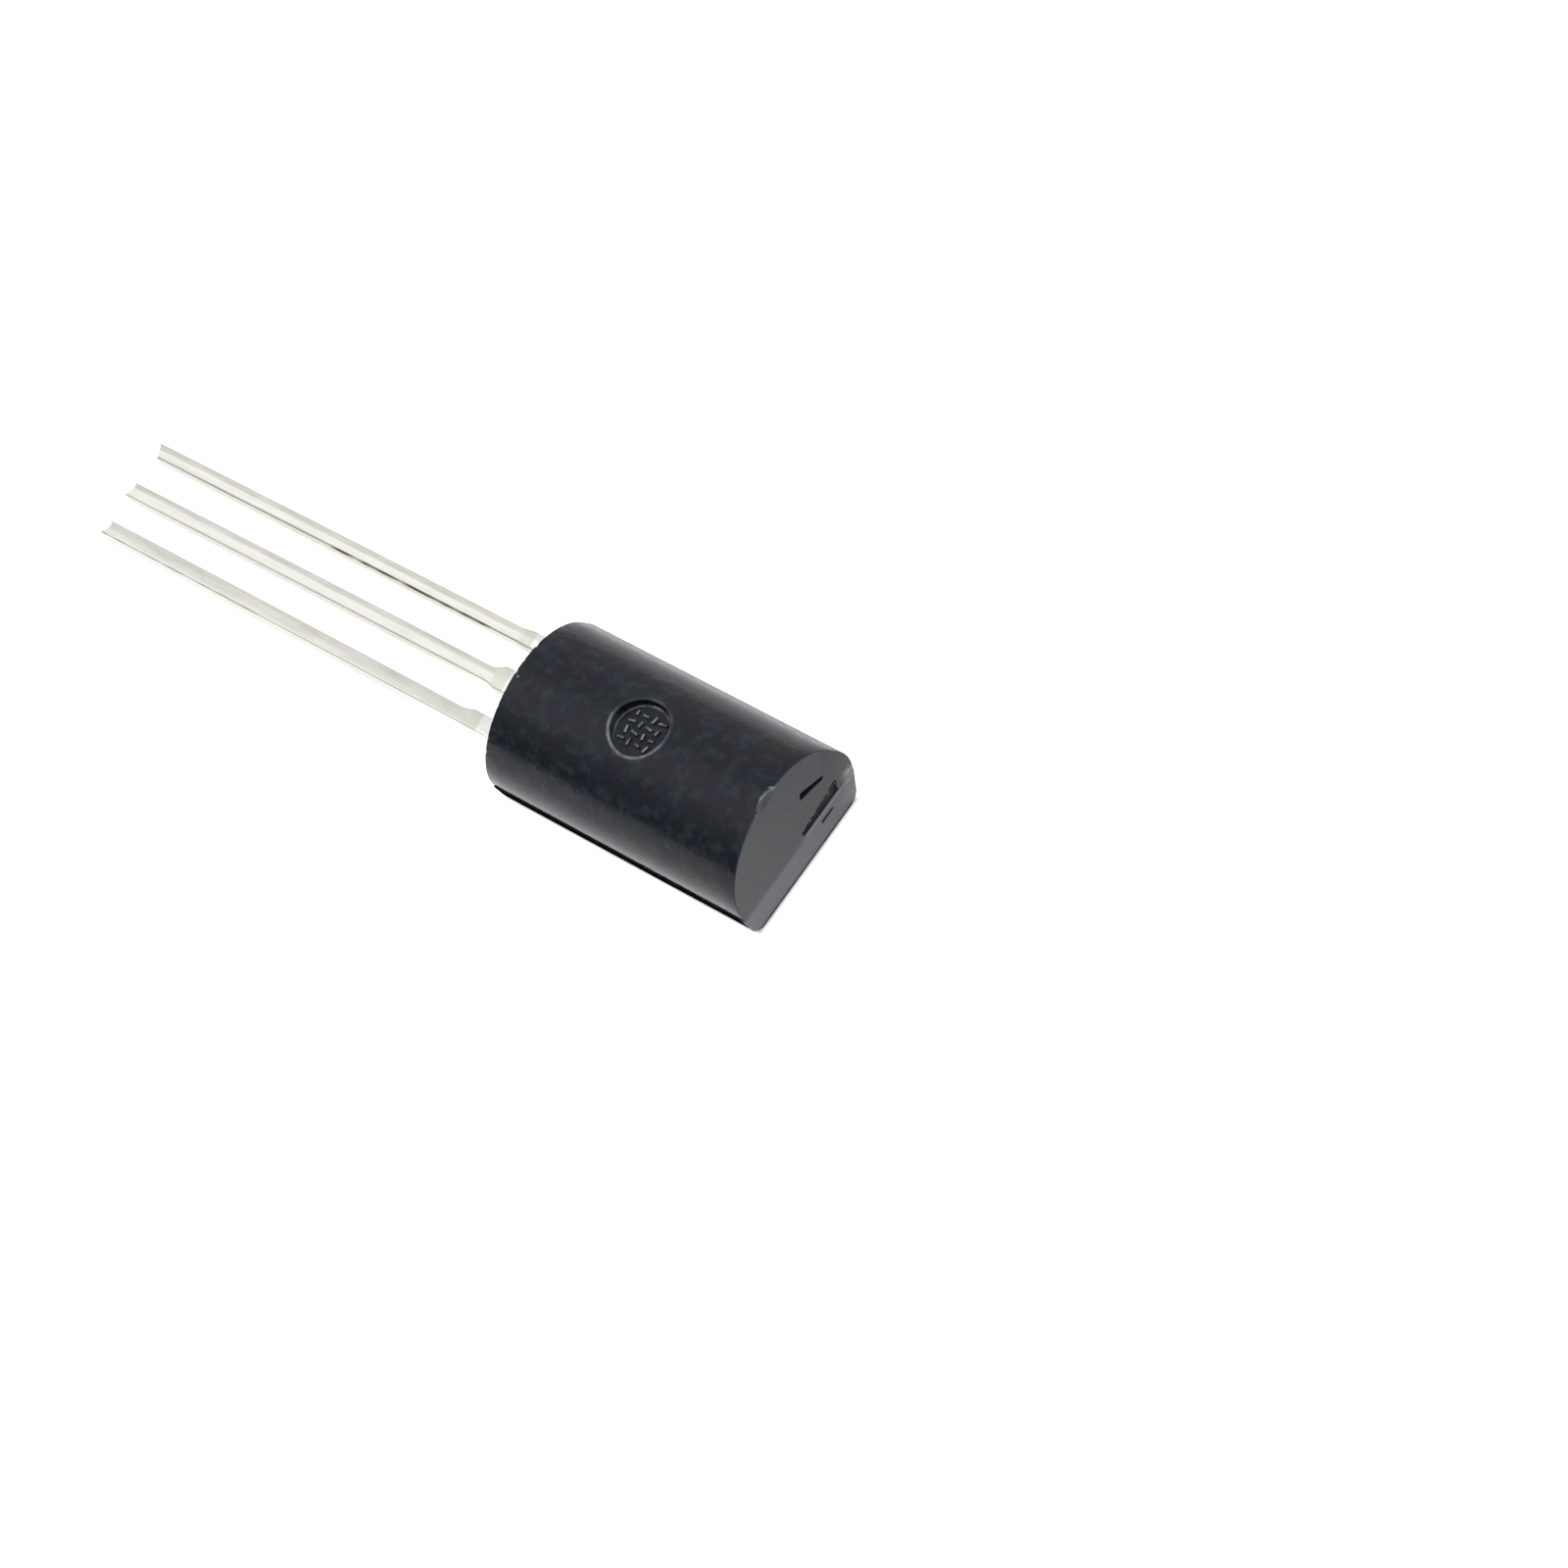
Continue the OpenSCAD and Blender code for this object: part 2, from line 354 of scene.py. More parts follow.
def markMasks(tree, place, uneven):
    # the painted highlight, with some scuffing, in and round the pin mark, and the painted shade of
    # its wall
    wear = epoxyWear
    radius = markShape["radius"]
    floorZ = caseTop - markShape["depth"]
    y, z = axesOf(tree, place)[1:]
    plan = stretched(tree, place, (1.0, 1.0, 0.0))
    centre = Vector((*markShape["centre"], 0)) * mm
    outwards = vectorMaths(tree, "DISTANCE", plan, centre)
    # painted highlight along the rim
    rim = times(
        tree,
        window(tree, outwards, wear["rimOut"], radius),
        window(tree, z, wear["rimUp"]),
        faded(tree, y, *wear["rimLit"]),
    )
    # painted highlight on the tops of the raised ridges
    tops = times(
        tree,
        window(tree, outwards, wear["topsOut"], radius),
        window(tree, z, wear["topsUp"], floorZ),
    )
    # painted highlight: the floor's edge is painted pale on the side away from the light
    ring = times(
        tree,
        window(tree, outwards, wear["ringOut"], radius),
        window(tree, z, wear["ringUp"], floorZ),
        faded(tree, vectorMaths(tree, "DOT_PRODUCT", plan, wear["ringFrom"]), *wear["ringLit"]),
    )
    # painted shade on the wall of the pin mark
    wall = times(
        tree,
        window(tree, outwards, wear["wallOut"], radius),
        window(tree, z, wear["wallUp"], floorZ),
    )
    wearAndHighlight = larger(tree, larger(tree, rim, tops), ring)
    return times(tree, wearAndHighlight, mapped(tree, uneven, *wear["scuffs"])), wall


def flakeMask(tree, place):
    # the inside of the large flake at the far end
    middle, radius = flakeBall()
    start, end = epoxyWear["flake"]
    outwards = vectorMaths(tree, "DISTANCE", place, middle * mm)
    return faded(tree, outwards, radius + start, radius + end)


def mouldedEpoxy():
    # black epoxy moulding compound from a spark-eroded mould: near black, a little blue,
    # with a fine even grain that spreads the light
    s, wear = epoxyFinish, epoxyWear
    material, tree = newMaterial("moulded_epoxy_compound")
    place = placeOf(tree)
    x, y, z = axesOf(tree, place)
    tones = [toLinear(s[name]) for name in ("bluish", "dark", "greenish")]
    stops = list(zip(s["blotchStops"], tones))
    colour = ramped(tree, noiseOf(tree, place, *s["blotch"]), stops)
    paler = mapped(tree, noiseOf(tree, place, *s["mottle"]), *wear["mottled"])
    uneven = noiseOf(tree, place, *s["uneven"])
    scuffsAndHighlight, wall = markMasks(tree, place, uneven)
    # painted reflection: the far end face is painted paler, most of all below the parting, for the
    # bright floor it mirrors
    endFace = faded(tree, x, *wear["endFace"])
    lowStart, lowEnd = wear["belowSeam"]
    lowEndFace = times(tree, endFace, faded(tree, z, partingZ + lowStart, partingZ + lowEnd))
    corner = times(
        tree,
        window(tree, y, wear["cornerAside"]),
        window(tree, z, wear["cornerUp"]),
        mapped(tree, uneven, *wear["cornerDust"]),
        endFace,
    )
    torn = times(
        tree,
        window(tree, y, wear["tornFromScar"], gateShape["scarY"]),
        window(tree, z, wear["tornFromSeam"], partingZ),
        window(tree, x, wear["tornFromEnd"], caseHalf),
    )
    # a pale ridge under the torn place
    ridge = times(
        tree,
        window(tree, z, wear["ridgeFromSeam"], partingZ),
        window(tree, y, wear["ridgeAside"]),
        window(tree, x, wear["ridgeFromEnd"], caseHalf),
    )
    # painted shade: the wall under the seam on the -Y side where it is seen along it, the foot of
    # the far end and the wall of the pin mark are painted near black, with no shine
    along = (addNode(tree, "ShaderNodeLayerWeight", inputs={"Blend": 0.5}), "Facing")
    underSeam = times(
        tree,
        window(tree, z, wear["shadeFromSeam"], partingZ),
        window(tree, y, wear["shadeAside"]),
        mapped(tree, along, *wear["shadeFacing"]),
    )
    lowest = times(tree, window(tree, z, wear["lowest"]), endFace)
    unlit = larger(tree, larger(tree, underSeam, lowest), wall)
    layers = (
        (paler, "light"),
        (endFace, "endFace"),
        # painted light: the inside of the flake is painted as pale as the lower end face, against
        # its own shade
        (flakeMask(tree, place), "lowEndFace"),
        (lowEndFace, "lowEndFace"),
        (torn, "torn"),
        (ridge, "ridge"),
        (unlit, "shade"),
        (corner, "dusty"),
        (scuffsAndHighlight, "scuffsAndHighlight"),
    )
    for mask, over in layers:
        colour = mixed(tree, mask, colour, toLinear(s[over]))
    # the real grain is about 0.02 mm; it is drawn coarser so that it shows
    grain = noiseOf(tree, place, *s["grain"])
    shader = addNode(
        tree,
        "ShaderNodeBsdfPrincipled",
        inputs={
            "Base Color": colour,
            "Roughness": mapped(tree, grain, noiseLow, noiseHigh, *s["roughness"], "LINEAR"),
            "Normal": bumped(tree, grain, *s["bump"]),
            "IOR": s["ior"],
            "Specular IOR Level": mapped(tree, unlit, 0, 1, s["shine"], 0),
        },
    )
    closeMaterial(tree, shader)
    return material


resinFinish = {
    "dark": "#4c5151",
    "light": "#8e9392",
    "stops": (0.35, 0.65),
    "dust": (0.05, 2.0),  # size in mm, detail
    "roughness": 0.8,
}


def brokenResin():
    # resin where it broke: matt, pale and dusty, without the skin of the mould
    s = resinFinish
    material, tree = newMaterial("broken_resin")
    tones = (toLinear(s["dark"]), toLinear(s["light"]))
    dust = noiseOf(tree, placeOf(tree), *s["dust"])
    colour = ramped(tree, dust, list(zip(s["stops"], tones)))
    shader = addNode(
        tree,
        "ShaderNodeBsdfPrincipled",
        inputs={"Base Color": colour, "Roughness": s["roughness"]},
    )
    closeMaterial(tree, shader)
    return material


tinFinish = {
    "dark": "#e4e3d8",
    "light": "#f7f6f0",
    "stub": "#e6e7da",
    # painted light: the root of each lead is painted white
    "root": "#ffffff",
    "darkLineTone": "#6f6d64",
    "roughness": (0.2, 0.32),
    "stubRougher": 0.16,
    "bump": (0.2, 0.01),  # strength, depth in mm
    # the noises: size in mm, detail and roughness
    "lines": (0.13, 3.0, 0.6),
    "patches": (0.35, 2.0),
    "lineStretch": (0.1, 1.0, 1.0),
    # along X: the dull stub, and where the root starts that is painted white as painted light
    "stubAlong": (-5.72, -5.3, 0.08),
    "rootAlong": (-5.32, -5.25),
    "slant": 0.07,
    "dull": (0.38, 0.6, 0.3, 1),
}


def tinPlatedCopper():
    # copper strip, stamped and dipped in tin: pale and a little warm, satin, with faint rolling
    # lines along the lead, duller on the stubs, painted white at the root as painted light, and
    # darker in patches along one rounded edge
    s = tinFinish
    material, tree = newMaterial("tin_plated_copper")
    place = placeOf(tree)
    x, y = axesOf(tree, place)[:2]
    lines = noiseOf(tree, stretched(tree, place, s["lineStretch"]), *s["lines"])
    stops = [(noiseLow, toLinear(s["dark"])), (noiseHigh, toLinear(s["light"]))]
    # the dull patch on each stub ends on a slanting line
    slanted = maths(tree, "MULTIPLY_ADD", y, s["slant"], x)
    stub = window(tree, slanted, s["stubAlong"])
    dull = mapped(tree, noiseOf(tree, place, *s["patches"]), *s["dull"])
    burr = (addNode(tree, "ShaderNodeAttribute", {"attribute_name": "burr"}), "Fac")
    layers = (
        (times(tree, stub, dull), "stub"),
        # painted light against the shade of the case
        (faded(tree, slanted, *s["rootAlong"]), "root"),
        # darker in patches along the upper rounded edge on the -Y side
        (burr, "darkLineTone"),
    )
    colour = ramped(tree, lines, stops)
    for mask, over in layers:
        colour = mixed(tree, mask, colour, toLinear(s[over]))
    rough = mapped(tree, lines, noiseLow, noiseHigh, *s["roughness"], "LINEAR")
    shader = addNode(
        tree,
        "ShaderNodeBsdfPrincipled",
        inputs={
            "Base Color": colour,
            "Roughness": maths(tree, "MULTIPLY_ADD", stub, s["stubRougher"], rough),
            "Normal": bumped(tree, lines, *s["bump"]),
            "Metallic": 1.0,
        },
    )
    closeMaterial(tree, shader)
    return material


# node: material, slot, dark and light tone, roughness, metallic, grain in mm
innerFinishes = {
    "die_attach": ("reflowed_solder", "solder", "#8d9096", "#a3a6ab", 0.34, 1.0, 0.05),
    "silicon_die": ("polished_silicon", "silicon", "#4b5563", "#667085", 0.08, 0.9, 0.2),
    "emitter_bond_wire": ("drawn_gold_wire", "gold_wire", "#d8ab45", "#e6c269", 0.2, 1.0, 0.02),
    "base_bond_wire": ("drawn_gold_wire", "gold_wire", "#d8ab45", "#e6c269", 0.2, 1.0, 0.02),
}


def innerMetal(name, dark, light, roughness, metallic, grain):
    # the sealed pieces: one even metal with a fine grain of its own
    found = bpy.data.materials.get(name)
    if found:
        return found
    material, tree = newMaterial(name)
    stops = [(noiseLow, toLinear(dark)), (noiseHigh, toLinear(light))]
    colour = ramped(tree, noiseOf(tree, placeOf(tree), grain, 3.0), stops)
    shader = addNode(
        tree,
        "ShaderNodeBsdfPrincipled",
        inputs={"Base Color": colour, "Roughness": roughness, "Metallic": metallic},
    )
    closeMaterial(tree, shader)
    return material


caseShape = {
    "flash": 0.03,  # how far the CAD fin stands out
    "backRadius": 2.265,
    # the -Y side is a little fuller: its radius, down to how many degrees, and how far
    # its foot turns in again
    "sideRadius": 2.485,
    "sideTo": 20,
    "sideUnder": 11,
    "roundWidth": 2.412,  # half the width of the round half at its widest
    "footRadius": 1.6,
    "footUnder": 13,  # degrees that its foot turns in again below the widest place
    "roundLow": 0.013,  # how far it reaches below the parting line
    "overlap": 0.1,  # and how far its section goes on inside the flat half
    "flatWidth": 2.435,
    "frontDraft": 11,
    "frontEdge": 0.42,
    # the two mould halves don't quite meet in line
    "roundShift": 0.03,
    "flatShift": -0.005,
    # each end, +X first: how far it stands past the CAD's end, and its draft
    "roundEnds": ((0.02, 2), (0, 3.2)),
    "flatEnds": ((0.035, 1.5), (0.015, 3)),
    "endRound": (0.035, 0.015),
    "frontRound": 0.08,
    "leadBevel": (0.13, 3.2),  # along the front of the lead end: how wide, how long
    # how far a section or a cutter goes on past an end, and the rings keep clear of it
    "overrun": 0.3,
    "ringsClear": 0.5,
    "backSteps": 50,
    "footSteps": (12, 24),  # on the +Y side and on the -Y side
    "frontSteps": 14,
    "roundWallCuts": 6,
    "flatWallCuts": 5,
    "alongCuts": 30,
    "waviness": 0.004,
    "roundWaves": (1.7, 3.1),  # their size, and a seed
    "flatWaves": (1.9, 7.7),
    # where the waves start and over how much they grow: from the ends, from the seam
    "wavesFromEnd": (0.2, 0.5),
    "wavesFromSeam": (0.1, 0.2),
    "wavesAbove": 0.3,
}

caseHalf = caseBox[1].x - caseShape["flash"]
caseTop = caseBox[1].z
backZ = caseTop - caseShape["backRadius"]
sectionX = -caseHalf - caseShape["overrun"]


def arcVerts(bm, vert, centre, angle, steps):
    made = bmesh.ops.spin(
        bm,
        geom=[vert],
        cent=centre,
        axis=(1, 0, 0),
        dvec=(0, 0, 0),
        angle=angle,
        steps=steps,
        use_duplicate=False,
    )
    return vertsIn(made["geom_last"])[0]


def extrudeSection(bm):
    # fills the section and draws it along X; the rings keep clear of the ends,
    # which are sliced and rounded next
    s = caseShape
    cap = bmesh.ops.edgeloop_fill(bm, edges=bm.edges[:])["faces"]
    drawn = bmesh.ops.extrude_face_region(bm, geom=cap)["geom"]
    bmesh.ops.translate(bm, vec=(2 * (caseHalf + s["overrun"]), 0, 0), verts=vertsIn(drawn))
    for i in range(s["alongCuts"] + 1):
        x = (2 * i / s["alongCuts"] - 1) * (caseHalf - s["ringsClear"])
        cutThrough(bm, (x, 0, 0), (1, 0, 0))


def onPlane(edge, point, normal):
    return all(abs((v.co - point).dot(normal)) < closeBy for v in edge.verts)


def waver(bm, size, seed):
    # moves the side walls in and out a little, as a real moulding's are
    s = caseShape
    endClear, endGrow = s["wavesFromEnd"]
    seamClear, seamGrow = s["wavesFromSeam"]
    bm.normal_update()
    shift = Vector((seed, seed * 0.7, -seed))
    for v in bm.verts:
        fade = clamped((caseHalf - endClear - abs(v.co.x)) / endGrow)
        clear = clamped((abs(v.co.z - partingZ) - seamClear) / seamGrow)
        if v.co.z <= s["wavesAbove"]:
            clear = 0
        v.co += v.normal * (noise.noise(v.co / size + shift) * s["waviness"] * fade * clear)


def endPlanes(ends, up):
    # the plane of each end face, leaning in as it leaves the parting line
    planes = []
    for side, (over, draft) in zip((1, -1), ends):
        lean = math.radians(draft)
        point = Vector((side * (caseHalf + over), 0, partingZ))
        planes.append((point, Vector((side * math.cos(lean), 0, up * math.sin(lean)))))
    return planes


def cutEnds(bm, planes, rounds):
    for (point, normal), size in zip(planes, rounds):
        sliceOff(bm, point, normal)
        roundEdges(bm, [e for e in bm.edges if onPlane(e, point, normal)], size)


def roundHalf():
    s = caseShape
    bm = bmesh.new()
    under = math.radians(s["footUnder"])
    footHigh = s["footRadius"] * math.sin(under)
    lowZ = partingZ - s["roundLow"]
    foot = Vector((sectionX, s["roundWidth"] - s["footRadius"], lowZ + footHigh))
    # the side wall touches both the round back and the rounded foot
    rise = backZ - foot.z
    lean = math.acos((s["backRadius"] - s["footRadius"]) / math.hypot(foot.y, rise))
    lean -= math.atan2(rise, foot.y)
    footY = foot.y + s["footRadius"] * math.cos(under)
    first = bm.verts.new((sectionX, footY, lowZ - s["overlap"]))
    low = bm.verts.new((sectionX, footY, lowZ))
    bm.edges.new((first, low))
    nearSteps, farSteps = s["footSteps"]
    wallLow = arcVerts(bm, low, foot, lean + under, nearSteps)
    wallTop = bm.verts.new(
        (sectionX, s["backRadius"] * math.cos(lean), backZ + s["backRadius"] * math.sin(lean))
    )
    walls = [bm.edges.new((wallLow, wallTop))]
    crest = arcVerts(bm, wallTop, (sectionX, 0, backZ), math.pi / 2 - lean, s["backSteps"])
    side = math.radians(s["sideTo"])
    sideZ = caseTop - s["sideRadius"]
    sideLow = arcVerts(bm, crest, (sectionX, 0, sideZ), math.pi / 2 - side, s["backSteps"])
    turnIn = math.radians(s["sideUnder"])
    lowRadius = (sideLow.co.z - lowZ) / (math.sin(side) + math.sin(turnIn))
    centre = sideLow.co + Vector((0, math.cos(side), -math.sin(side))) * lowRadius
    farFoot = arcVerts(bm, sideLow, centre, side + turnIn, farSteps)
    last = bm.verts.new((sectionX, farFoot.co.y, lowZ - s["overlap"]))
    bm.edges.new((farFoot, last))
    bm.edges.new((last, first))
    bmesh.ops.subdivide_edges(bm, edges=walls, cuts=s["roundWallCuts"])
    bmesh.ops.translate(bm, vec=(0, s["roundShift"], 0), verts=bm.verts)
    extrudeSection(bm)
    cutEnds(bm, endPlanes(s["roundEnds"], 1), s["endRound"])
    waver(bm, *s["roundWaves"])
    return makeObject(bm, "round_half")


def flatHalf():
    s = caseShape
    bm = bmesh.new()
    lean = math.radians(s["frontDraft"])
    inner = s["flatWidth"] - partingZ * math.tan(lean)
    edgeY = inner - s["frontEdge"] * (1 - math.sin(lean)) / math.cos(lean)
    bendY = edgeY + s["frontEdge"] * math.cos(lean)
    bendZ = s["frontEdge"] * (1 - math.sin(lean))
    corners, walls = [], []
    for side in (1, -1):
        high = bm.verts.new((sectionX, side * s["flatWidth"], partingZ))
        bend = bm.verts.new((sectionX, side * bendY, bendZ))
        walls.append(bm.edges.new((high, bend)))
        centre = (sectionX, side * edgeY, s["frontEdge"])
        last = arcVerts(bm, bend, centre, side * (lean - math.pi / 2), s["frontSteps"])
        corners.append((high, last))
    bm.edges.new((corners[0][0], corners[1][0]))
    bm.edges.new((corners[0][1], corners[1][1]))
    bmesh.ops.subdivide_edges(bm, edges=walls, cuts=s["flatWallCuts"])
    bmesh.ops.translate(bm, vec=(0, s["flatShift"], 0), verts=bm.verts)
    extrudeSection(bm)
    cutEnds(bm, endPlanes(s["flatEnds"], -1), (s["frontRound"], s["frontRound"]))
    waver(bm, *s["flatWaves"])
    return makeObject(bm, "flat_half")


markShape = {
    "centre": (-0.08, -0.1),
    "radius": 0.77,
    "depth": 0.3,
    "rim": 0.035,
    "rimFrom": 108,  # degrees; the rim's arc ends inside the cutter
    "foot": 0.015,
    "lid": (0.35, 0.14, 0.34),  # of the cutter: past the radius, height there and at the axis
    "steps": (4, 6, 80),  # of the foot, of the rim, round the mark
    # a plain weave of short raised ridges, so that the place isn't bare
    "seed": 5,
    "cells": 4,
    "cell": 0.26,
    "barLength": 0.21,
    "barLengths": (0.75, 1.15),
    "barWidth": 0.075,
    "barHeight": 0.06,
    "barRound": 0.025,
    "barAskew": 14,
}


def crownFall(y):
    # how far the round back lies below its highest line
    across = y - caseShape["roundShift"]
    radius = caseShape["backRadius"] if across > 0 else caseShape["sideRadius"]
    return radius - math.sqrt(radius**2 - across**2)


def arcPoints(centreX, centreY, radius, fromAngle, toAngle, steps):
    turn = [math.radians(fromAngle + (toAngle - fromAngle) * i / steps) for i in range(steps + 1)]
    return [(centreX + radius * math.cos(a), centreY + radius * math.sin(a)) for a in turn]


def ejectorMark():
    # a round pin mark with a flat floor, whose rounded rim follows the round back
    s = markShape
    radius, rim, foot = s["radius"], s["rim"], s["foot"]
    footSteps, rimSteps, turnSteps = s["steps"]
    past, lidHigh, lidTop = s["lid"]
    low = arcPoints(radius - foot, foot - s["depth"], foot, -90, 0, footSteps)
    high = arcPoints(radius + rim, -rim, rim, 180, s["rimFrom"], rimSteps)
    bm = bmesh.new()
    outline = [(0, -s["depth"])] + low + high + [(radius + past, lidHigh), (0, lidTop)]
    profile = [bm.verts.new((r, 0, z)) for r, z in outline]
    for pair in zip(profile, profile[1:]):
        bm.edges.new(pair)
    bmesh.ops.spin(
        bm,
        geom=bm.verts[:] + bm.edges[:],
        cent=(0, 0, 0),
        axis=(0, 0, 1),
        dvec=(0, 0, 0),
        angle=2 * math.pi,
        steps=turnSteps,
        use_merge=True,
        use_duplicate=False,
    )
    for v in bm.verts:
        follows = v.co.z > -rim - closeBy
        v.co += Vector((*s["centre"], caseTop))
        if follows:
            v.co.z -= crownFall(v.co.y)
    return makeObject(bm, "mark_cutter")


def markBars():
    s = markShape
    bm = bmesh.new()
    floorZ = caseTop - s["depth"]
    middle = (s["cells"] - 1) / 2
    random.seed(s["seed"])
    for i in range(s["cells"] ** 2):
        row, column = divmod(i, s["cells"])
        place = Vector(((row - middle) * s["cell"], (column - middle) * s["cell"], 0))
        length = s["barLength"] * random.uniform(*s["barLengths"])
        made = addCube(bm, (length, s["barWidth"], s["barHeight"] * 2))
        askew = 90 * ((row + column) % 2) + random.uniform(-s["barAskew"], s["barAskew"])
        turnVerts(bm, made, math.radians(askew), "Z")
        bmesh.ops.translate(bm, vec=place + Vector((*s["centre"], floorZ)), verts=made)
    tops = [e for e in bm.edges if min(v.co.z for v in e.verts) > floorZ]
    roundEdges(bm, tops, s["barRound"])
    return makeObject(bm, "mark_bars")


gateShape = {
    "scarY": 0.98,
    "scarWidth": 1.5,
    "scarHeight": 0.4,
    "scarDepth": 0.14,
    "scarUp": 0.06,  # its lower edge above the parting line
    "scarCells": (44, 12),
    # its floor: how much is even, rough and an island, and the least depth
    "floorParts": (0.8, 0.6, 0.75),
    "floorLeast": 0.012,
    "floorGrain": 3,
    # the island as parts of the scar: where along it, how long, how far up, how high
    "island": (-0.28, 0.08, 0.1, 0.3),
    "edgeGrain": 4,
    "edgeSeed": 4,
    "edgeRagged": (0.2, 0.1),  # along and up, in mm
    "taper": (0.55, 1.2),  # narrower at the end of smaller y: how much, how late
    # y, z, length, width at the end of smaller y and at the other, depth, tilt in degrees
    "nick": (1.06, 2.33, 0.92, 0.24, 0.12, 0.22, -21),
    "dimple": (1.12, 0.84, 0.5, 0.15, 0.1, 0.1, 0),
    "slotOut": 0.5,  # how far its cutter stands out
    "slotRound": 0.49,  # of its width
}


def reliefCutter(name, side, middle, size, cells, relief):
    # a sheet on an end face, pushed into the body as the relief says and closed outside it
    bm = bmesh.new()
    bmesh.ops.create_grid(bm, x_segments=cells[0], y_segments=cells[1], size=0.5)
    for v in bm.verts:
        depth, aside, up = relief(v.co.x, v.co.y)
        y = middle[0] + v.co.x * size[0] + aside
        z = middle[1] + v.co.y * size[1] + up
        v.co = Vector((side * (caseHalf - depth), y, z))
    drawn = bmesh.ops.extrude_face_region(bm, geom=bm.faces[:])["geom"]
    for v in vertsIn(drawn):
        v.co.x = side * (caseHalf + caseShape["overrun"])
    return makeObject(bm, name)


def scarCutter():
    # the torn place where the runner was broken off: ragged outline, broken floor
    s = gateShape
    even, rougher, higher = s["floorParts"]
    islandAt, islandLong, islandUp, islandHigh = s["island"]
    raggedAlong, raggedUp = s["edgeRagged"]
    taperBy, taperLate = s["taper"]

    def torn(u, w):
        at = Vector((u * s["scarWidth"], w * s["scarHeight"], 0))
        rough = noise.fractal(at * s["floorGrain"], 1.0, 2.0, 3)
        ragged = noise.noise(at * s["edgeGrain"] + Vector((s["edgeSeed"], 0, 0)))
        off = ((u - islandAt) / islandLong) ** 2 + ((w - islandUp) / islandHigh) ** 2
        deep = s["scarDepth"] * (even + rougher * rough - higher * math.exp(-off))
        taper = (w + 0.5) * s["scarHeight"] * (taperBy * (0.5 - u)) ** taperLate
        aside = raggedAlong * ragged * abs(u)
        return max(s["floorLeast"], deep), aside, raggedUp * ragged * (w + 0.5) - taper

    middle = (s["scarY"], partingZ + s["scarUp"] + s["scarHeight"] / 2)
    size = (s["scarWidth"], s["scarHeight"])
    return reliefCutter("scar_cutter", 1, middle, size, s["scarCells"], torn)


def slotCutter(y, z, length, wide, narrow, depth, tilt):
    # a slot with round ends in the far end face
    bm = bmesh.new()
    through = depth + gateShape["slotOut"]
    made = addCube(bm, (through, length, 1))
    for v in made:
        v.co.z *= wide if v.co.y < 0 else narrow
    ends = [e for e in bm.edges if abs(e.verts[0].co.x - e.verts[1].co.x) > through / 2]
    roundEdges(bm, ends, narrow * gateShape["slotRound"], 5)
    turnVerts(bm, bm.verts, math.radians(tilt), "X")
    bmesh.ops.translate(bm, vec=(caseHalf - depth + through / 2, y, z), verts=bm.verts)
    return makeObject(bm, "slot_cutter")


pocketShape = {
    "width": 0.68,
    "length": 0.74,
    "up": 0.03,  # its upper edge above the parting line
    "deep": 0.26,
    "shallow": 0.07,
    "rib": 0.14,
    "ribWidth": 0.2,
    "ribSteep": 1.9,
    "cells": (22, 14),
}


def pocketCutter(y):
    # the relief in front of a lead: deep at the lead, fading out towards the flat,
    # with a low rounded rib up its middle
    s = pocketShape

    def pocket(u, w):
        depth = s["shallow"] + (s["deep"] - s["shallow"]) * (w + 0.5)
        rib = math.exp(-((u * s["width"] / s["ribWidth"] * s["ribSteep"]) ** 4))
        return depth * (1 - rib * s["rib"] / s["deep"]), 0, 0

    middle = (y, partingZ + s["up"] - s["length"] / 2)
    size = (s["width"], s["length"])
    return reliefCutter("pocket_cutter", -1, middle, size, s["cells"], pocket)


def frontBevel():
    bm = bmesh.new()
    width, length = caseShape["leadBevel"]
    side = width * math.sqrt(2)
    made = addCube(bm, (side, length, side))
    turnVerts(bm, made, math.radians(45), "Y")
    draft = caseShape["flatEnds"][1][1]
    foot = -caseHalf + partingZ * math.tan(math.radians(draft))
    bmesh.ops.translate(bm, vec=(foot, 0, 0), verts=made)
    return makeObject(bm, "bevel_cutter")


chipShape = {
    "seed": 7,
    # where along the round back, in degrees from +Y, and how large
    "leadEnd": (
        (36, 0.06), (50, 0.11), (64, 0.08), (76, 0.14), (90, 0.06), (99, 0.1),
        (110, 0.14), (121, 0.08), (130, 0.13), (142, 0.09), (152, 0.11), (162, 0.06),
    ),
    "farEnd": ((131, 0.035),),
    "stretch": (0.7, 1.3),
    "out": 0.45,  # as a part of its size, away from the edge both ways
    # the large worn flake on the far end: where, radius, how far out of the end and up
    "flake": (97.3, 0.65, 0.5, 0.17),
}


def backPoint(x, degrees):
    radius = caseShape["backRadius"] if degrees < 90 else caseShape["sideRadius"]
    turn = math.radians(degrees)
    away = Vector((0, math.cos(turn), math.sin(turn)))
    crest = Vector((x, caseShape["roundShift"], caseTop - radius))
    return crest + away * radius, away


def endEdge(side, degrees):
    # where the round back meets an end face
    place, away = backPoint(0, degrees)
    over, draft = caseShape["roundEnds"][0 if side > 0 else 1]
    place.x = side * (caseHalf + over - (place.z - partingZ) * math.tan(math.radians(draft)))
    return place, away


def flakeBall():
    degrees, radius, out, up = chipShape["flake"]
    place, away = endEdge(1, degrees)
    return place + away * up + Vector((out, 0, 0)), radius


